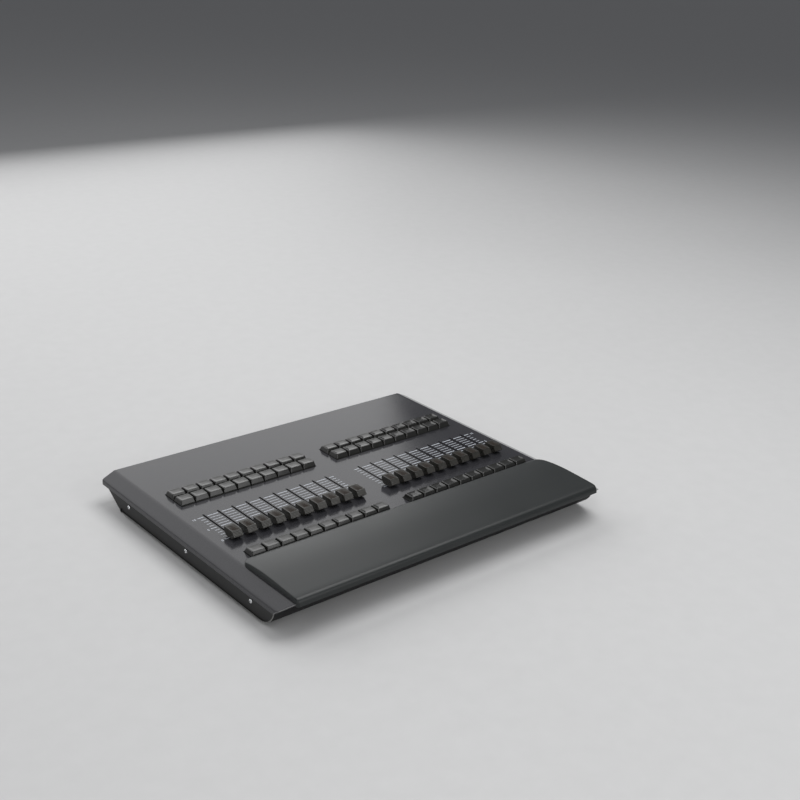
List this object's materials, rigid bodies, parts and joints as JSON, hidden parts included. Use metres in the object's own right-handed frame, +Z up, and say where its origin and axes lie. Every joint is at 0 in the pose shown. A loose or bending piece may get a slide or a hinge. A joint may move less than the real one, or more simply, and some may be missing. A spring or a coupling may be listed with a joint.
{
  "type": "lighting control desk",
  "caption": "Low table-top lighting control desk with a folded metal case, a padded-look front armrest, two banks of slide faders and rows of square push keys.",
  "frame": {"origin": "centre of the footprint, on the surface the rubber feet stand on", "axes": "+X to the operator's right along the fader row, +Y away from the operator towards the rear connectors, +Z up out of the panel"},
  "size_m": [0.502, 0.4, 0.0526],
  "materials": {
    "panel_paint": "fine textured dark grey powder coat",
    "pan_paint": "fine textured dark grey powder coat",
    "cheek_paint": "matt black-grey powder coat",
    "rest_plastic": "smooth satin moulded plastic",
    "key_plastic": "matt moulded grey plastic",
    "knob_plastic": "matt warm-grey plastic with a ribbed front",
    "foot_rubber": "black rubber",
    "screw_steel": "bright zinc-plated steel",
    "block_aluminium": "as machined",
    "pillar_brass": "nickel-free turned brass",
    "board_resin": "green solder resist",
    "track_steel": "pressed tinned steel",
    "switch_plastic": "black moulded plastic",
    "socket_metal": "nickel-plated shell",
    "ribbon_pvc": "grey ribbon insulation"
  },
  "bodies": {
    "desk": {"top_cover": "panel_paint", "base_pan": "pan_paint", "left_cheek": "cheek_paint", "right_cheek": "cheek_paint", "armrest": "rest_plastic", "stud_nuts": "pillar_brass", "m3_screws": "screw_steel", "fixing_blocks": "block_aluminium", "rubber_feet": "foot_rubber", "bank_boards": "board_resin", "board_pillars": "pillar_brass", "fader_tracks": "track_steel", "key_switches": "switch_plastic", "main_board": "board_resin", "usb_socket": "socket_metal", "ribbon_cables": "ribbon_pvc"},
    "fader_01": {"fader_01": "knob_plastic"},
    "fader_02": {"fader_02": "knob_plastic"},
    "fader_03": {"fader_03": "knob_plastic"},
    "fader_04": {"fader_04": "knob_plastic"},
    "fader_05": {"fader_05": "knob_plastic"},
    "fader_06": {"fader_06": "knob_plastic"},
    "fader_07": {"fader_07": "knob_plastic"},
    "fader_08": {"fader_08": "knob_plastic"},
    "fader_09": {"fader_09": "knob_plastic"},
    "fader_10": {"fader_10": "knob_plastic"},
    "fader_11": {"fader_11": "knob_plastic"},
    "fader_12": {"fader_12": "knob_plastic"},
    "fader_13": {"fader_13": "knob_plastic"},
    "fader_14": {"fader_14": "knob_plastic"},
    "fader_15": {"fader_15": "knob_plastic"},
    "fader_16": {"fader_16": "knob_plastic"},
    "fader_17": {"fader_17": "knob_plastic"},
    "fader_18": {"fader_18": "knob_plastic"},
    "fader_19": {"fader_19": "knob_plastic"},
    "fader_20": {"fader_20": "knob_plastic"},
    "flash_key_01": {"flash_key_01": "key_plastic"},
    "flash_key_02": {"flash_key_02": "key_plastic"},
    "flash_key_03": {"flash_key_03": "key_plastic"},
    "flash_key_04": {"flash_key_04": "key_plastic"},
    "flash_key_05": {"flash_key_05": "key_plastic"},
    "flash_key_06": {"flash_key_06": "key_plastic"},
    "flash_key_07": {"flash_key_07": "key_plastic"},
    "flash_key_08": {"flash_key_08": "key_plastic"},
    "flash_key_09": {"flash_key_09": "key_plastic"},
    "flash_key_10": {"flash_key_10": "key_plastic"},
    "flash_key_11": {"flash_key_11": "key_plastic"},
    "flash_key_12": {"flash_key_12": "key_plastic"},
    "flash_key_13": {"flash_key_13": "key_plastic"},
    "flash_key_14": {"flash_key_14": "key_plastic"},
    "flash_key_15": {"flash_key_15": "key_plastic"},
    "flash_key_16": {"flash_key_16": "key_plastic"},
    "flash_key_17": {"flash_key_17": "key_plastic"},
    "flash_key_18": {"flash_key_18": "key_plastic"},
    "flash_key_19": {"flash_key_19": "key_plastic"},
    "flash_key_20": {"flash_key_20": "key_plastic"},
    "rear_keys_left": {"rear_keys_left": "key_plastic"},
    "rear_keys_right": {"rear_keys_right": "key_plastic"},
    "middle_keys_left": {"middle_keys_left": "key_plastic"},
    "middle_keys_right": {"middle_keys_right": "key_plastic"}
  },
  "joints": [
    {"name": "fader_01_slide", "type": "slide", "parent": "desk", "child": "fader_01", "axis": [0, 1, 0], "range_m": [0, 0.06]},
    {"name": "fader_02_slide", "type": "slide", "parent": "desk", "child": "fader_02", "axis": [0, 1, 0], "range_m": [0, 0.06]},
    {"name": "fader_03_slide", "type": "slide", "parent": "desk", "child": "fader_03", "axis": [0, 1, 0], "range_m": [0, 0.06]},
    {"name": "fader_04_slide", "type": "slide", "parent": "desk", "child": "fader_04", "axis": [0, 1, 0], "range_m": [0, 0.06]},
    {"name": "fader_05_slide", "type": "slide", "parent": "desk", "child": "fader_05", "axis": [0, 1, 0], "range_m": [0, 0.06]},
    {"name": "fader_06_slide", "type": "slide", "parent": "desk", "child": "fader_06", "axis": [0, 1, 0], "range_m": [0, 0.06]},
    {"name": "fader_07_slide", "type": "slide", "parent": "desk", "child": "fader_07", "axis": [0, 1, 0], "range_m": [0, 0.06]},
    {"name": "fader_08_slide", "type": "slide", "parent": "desk", "child": "fader_08", "axis": [0, 1, 0], "range_m": [0, 0.06]},
    {"name": "fader_09_slide", "type": "slide", "parent": "desk", "child": "fader_09", "axis": [0, 1, 0], "range_m": [0, 0.06]},
    {"name": "fader_10_slide", "type": "slide", "parent": "desk", "child": "fader_10", "axis": [0, 1, 0], "range_m": [0, 0.06]},
    {"name": "fader_11_slide", "type": "slide", "parent": "desk", "child": "fader_11", "axis": [0, 1, 0], "range_m": [0, 0.06]},
    {"name": "fader_12_slide", "type": "slide", "parent": "desk", "child": "fader_12", "axis": [0, 1, 0], "range_m": [0, 0.06]},
    {"name": "fader_13_slide", "type": "slide", "parent": "desk", "child": "fader_13", "axis": [0, 1, 0], "range_m": [0, 0.06]},
    {"name": "fader_14_slide", "type": "slide", "parent": "desk", "child": "fader_14", "axis": [0, 1, 0], "range_m": [0, 0.06]},
    {"name": "fader_15_slide", "type": "slide", "parent": "desk", "child": "fader_15", "axis": [0, 1, 0], "range_m": [0, 0.06]},
    {"name": "fader_16_slide", "type": "slide", "parent": "desk", "child": "fader_16", "axis": [0, 1, 0], "range_m": [0, 0.06]},
    {"name": "fader_17_slide", "type": "slide", "parent": "desk", "child": "fader_17", "axis": [0, 1, 0], "range_m": [0, 0.06]},
    {"name": "fader_18_slide", "type": "slide", "parent": "desk", "child": "fader_18", "axis": [0, 1, 0], "range_m": [0, 0.06]},
    {"name": "fader_19_slide", "type": "slide", "parent": "desk", "child": "fader_19", "axis": [0, 1, 0], "range_m": [0, 0.06]},
    {"name": "fader_20_slide", "type": "slide", "parent": "desk", "child": "fader_20", "axis": [0, 1, 0], "range_m": [0, 0.06]},
    {"name": "flash_key_01_press", "type": "slide", "parent": "desk", "child": "flash_key_01", "axis": [0, 0, -1], "range_m": [0, 0.003], "stiffness_N_per_m": 250, "springref_m": -0.001},
    {"name": "flash_key_02_press", "type": "slide", "parent": "desk", "child": "flash_key_02", "axis": [0, 0, -1], "range_m": [0, 0.003], "stiffness_N_per_m": 250, "springref_m": -0.001},
    {"name": "flash_key_03_press", "type": "slide", "parent": "desk", "child": "flash_key_03", "axis": [0, 0, -1], "range_m": [0, 0.003], "stiffness_N_per_m": 250, "springref_m": -0.001},
    {"name": "flash_key_04_press", "type": "slide", "parent": "desk", "child": "flash_key_04", "axis": [0, 0, -1], "range_m": [0, 0.003], "stiffness_N_per_m": 250, "springref_m": -0.001},
    {"name": "flash_key_05_press", "type": "slide", "parent": "desk", "child": "flash_key_05", "axis": [0, 0, -1], "range_m": [0, 0.003], "stiffness_N_per_m": 250, "springref_m": -0.001},
    {"name": "flash_key_06_press", "type": "slide", "parent": "desk", "child": "flash_key_06", "axis": [0, 0, -1], "range_m": [0, 0.003], "stiffness_N_per_m": 250, "springref_m": -0.001},
    {"name": "flash_key_07_press", "type": "slide", "parent": "desk", "child": "flash_key_07", "axis": [0, 0, -1], "range_m": [0, 0.003], "stiffness_N_per_m": 250, "springref_m": -0.001},
    {"name": "flash_key_08_press", "type": "slide", "parent": "desk", "child": "flash_key_08", "axis": [0, 0, -1], "range_m": [0, 0.003], "stiffness_N_per_m": 250, "springref_m": -0.001},
    {"name": "flash_key_09_press", "type": "slide", "parent": "desk", "child": "flash_key_09", "axis": [0, 0, -1], "range_m": [0, 0.003], "stiffness_N_per_m": 250, "springref_m": -0.001},
    {"name": "flash_key_10_press", "type": "slide", "parent": "desk", "child": "flash_key_10", "axis": [0, 0, -1], "range_m": [0, 0.003], "stiffness_N_per_m": 250, "springref_m": -0.001},
    {"name": "flash_key_11_press", "type": "slide", "parent": "desk", "child": "flash_key_11", "axis": [0, 0, -1], "range_m": [0, 0.003], "stiffness_N_per_m": 250, "springref_m": -0.001},
    {"name": "flash_key_12_press", "type": "slide", "parent": "desk", "child": "flash_key_12", "axis": [0, 0, -1], "range_m": [0, 0.003], "stiffness_N_per_m": 250, "springref_m": -0.001},
    {"name": "flash_key_13_press", "type": "slide", "parent": "desk", "child": "flash_key_13", "axis": [0, 0, -1], "range_m": [0, 0.003], "stiffness_N_per_m": 250, "springref_m": -0.001},
    {"name": "flash_key_14_press", "type": "slide", "parent": "desk", "child": "flash_key_14", "axis": [0, 0, -1], "range_m": [0, 0.003], "stiffness_N_per_m": 250, "springref_m": -0.001},
    {"name": "flash_key_15_press", "type": "slide", "parent": "desk", "child": "flash_key_15", "axis": [0, 0, -1], "range_m": [0, 0.003], "stiffness_N_per_m": 250, "springref_m": -0.001},
    {"name": "flash_key_16_press", "type": "slide", "parent": "desk", "child": "flash_key_16", "axis": [0, 0, -1], "range_m": [0, 0.003], "stiffness_N_per_m": 250, "springref_m": -0.001},
    {"name": "flash_key_17_press", "type": "slide", "parent": "desk", "child": "flash_key_17", "axis": [0, 0, -1], "range_m": [0, 0.003], "stiffness_N_per_m": 250, "springref_m": -0.001},
    {"name": "flash_key_18_press", "type": "slide", "parent": "desk", "child": "flash_key_18", "axis": [0, 0, -1], "range_m": [0, 0.003], "stiffness_N_per_m": 250, "springref_m": -0.001},
    {"name": "flash_key_19_press", "type": "slide", "parent": "desk", "child": "flash_key_19", "axis": [0, 0, -1], "range_m": [0, 0.003], "stiffness_N_per_m": 250, "springref_m": -0.001},
    {"name": "flash_key_20_press", "type": "slide", "parent": "desk", "child": "flash_key_20", "axis": [0, 0, -1], "range_m": [0, 0.003], "stiffness_N_per_m": 250, "springref_m": -0.001},
    {"name": "rear_keys_left_press", "type": "slide", "parent": "desk", "child": "rear_keys_left", "axis": [0, 0, -1], "range_m": [0, 0.003], "stiffness_N_per_m": 2500, "springref_m": -0.001},
    {"name": "rear_keys_right_press", "type": "slide", "parent": "desk", "child": "rear_keys_right", "axis": [0, 0, -1], "range_m": [0, 0.003], "stiffness_N_per_m": 2500, "springref_m": -0.001},
    {"name": "middle_keys_left_press", "type": "slide", "parent": "desk", "child": "middle_keys_left", "axis": [0, 0, -1], "range_m": [0, 0.003], "stiffness_N_per_m": 2500, "springref_m": -0.001},
    {"name": "middle_keys_right_press", "type": "slide", "parent": "desk", "child": "middle_keys_right", "axis": [0, 0, -1], "range_m": [0, 0.003], "stiffness_N_per_m": 2500, "springref_m": -0.001}
  ]
}
